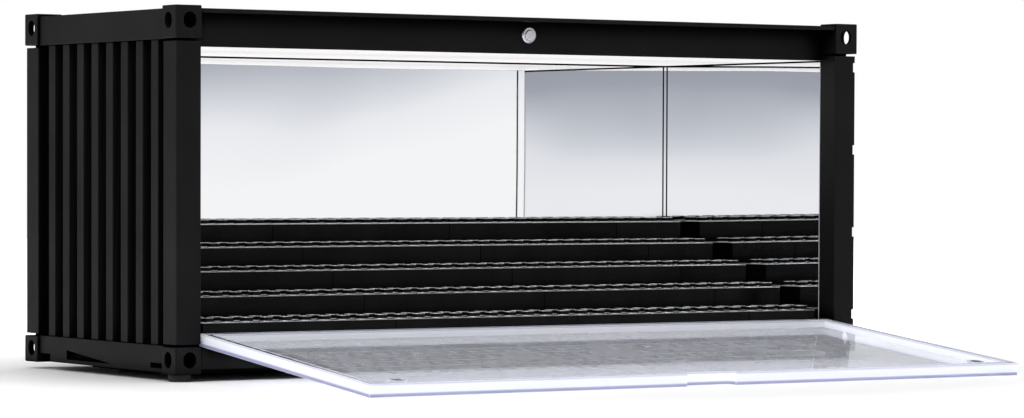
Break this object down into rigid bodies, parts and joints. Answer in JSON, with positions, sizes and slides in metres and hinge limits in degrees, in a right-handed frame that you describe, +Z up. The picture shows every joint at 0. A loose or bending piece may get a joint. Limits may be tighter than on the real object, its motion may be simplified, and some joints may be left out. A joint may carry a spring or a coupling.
{
  "type": "minifigure display case",
  "caption": "Container-shaped display case with a stepped studded stand, mirrored inner walls, a lit ceiling, a push button and a drop-down clear door on a bottom hinge.",
  "frame": {"origin": "on the table, in the middle of the whole part seen from above: X = 0 is the middle of the case, Y = 0 is half way between the free edge of the opened door and the rear face", "axes": "+X to the right along the case seen from the front, +Y from the open front to the rear, +Z up; the door is stored opened down on to the table"},
  "size_m": [0.301, 0.2276, 0.1315],
  "materials": {
    "case_plastic": "finely textured satin",
    "pan_plastic": "matte",
    "stand_plastic": "semi-gloss",
    "switch_plastic": "matte",
    "foot_rubber": "matte",
    "lead_sheath": "satin",
    "steel": "plain",
    "magnet": "plated",
    "button_metal": "satin plated",
    "socket_metal": "plated",
    "back_mirror": "silvered acrylic",
    "left_mirror": "silvered acrylic",
    "right_mirror": "silvered acrylic",
    "diffuser": "opal, lit",
    "board": "white",
    "led_chips": "lit",
    "door_clear": "polished clear acrylic"
  },
  "bodies": {
    "case": {"casting_bottom_front_left": "case_plastic", "casting_bottom_front_right": "case_plastic", "casting_bottom_rear_left": "case_plastic", "casting_bottom_rear_right": "case_plastic", "casting_top_front_left": "case_plastic", "casting_top_front_right": "case_plastic", "casting_top_rear_left": "case_plastic", "casting_top_rear_right": "case_plastic", "post_front_left": "case_plastic", "post_front_right": "case_plastic", "post_rear_left": "case_plastic", "post_rear_right": "case_plastic", "front_bottom_rail": "case_plastic", "rear_bottom_rail": "case_plastic", "left_bottom_rail": "case_plastic", "right_bottom_rail": "case_plastic", "base_floor": "pan_plastic", "base_pan": "pan_plastic", "base_screws": "steel", "foot_front_left": "foot_rubber", "foot_front_right": "foot_rubber", "foot_rear_left": "foot_rubber", "foot_rear_right": "foot_rubber", "left_top_rail": "case_plastic", "right_top_rail": "case_plastic", "rear_top_rail": "case_plastic", "front_header": "case_plastic", "header_magnets": "magnet", "roof_panel": "case_plastic", "left_end_panel": "case_plastic", "right_end_panel": "case_plastic", "rear_panel": "case_plastic", "back_mirror": "back_mirror", "left_mirror": "left_mirror", "right_mirror": "right_mirror", "light_diffuser": "diffuser", "led_board_front": "board", "led_board_rear": "board", "led_chips": "led_chips", "board_link": "board", "button_bezel": "button_metal", "switch_body": "switch_plastic", "power_socket": "socket_metal", "power_lead": "lead_sheath", "switch_lead": "lead_sheath", "hinge_pin_left": "steel", "hinge_pin_right": "steel", "step_1_long_bricks": "stand_plastic", "step_1_short_brick": "stand_plastic", "step_2_long_bricks": "stand_plastic", "step_2_short_brick": "stand_plastic", "step_3_long_bricks": "stand_plastic", "step_3_short_brick": "stand_plastic", "step_4_long_bricks": "stand_plastic", "step_4_short_brick": "stand_plastic", "step_5_long_bricks": "stand_plastic", "step_5_short_brick": "stand_plastic"},
    "door": {"door_panel": "door_clear", "door_magnets": "magnet"},
    "button": {"button_cap": "button_metal"}
  },
  "joints": [
    {"name": "door_hinge", "type": "hinge", "parent": "case", "child": "door", "pos_m": [0, -0.00013, 0.01445], "axis": [-1, 0, 0], "range_deg": [0, 96.12]},
    {"name": "button_press", "type": "slide", "parent": "case", "child": "button", "axis": [0, 1, 0], "range_m": [0, 0.0008], "stiffness_N_per_m": 400}
  ]
}
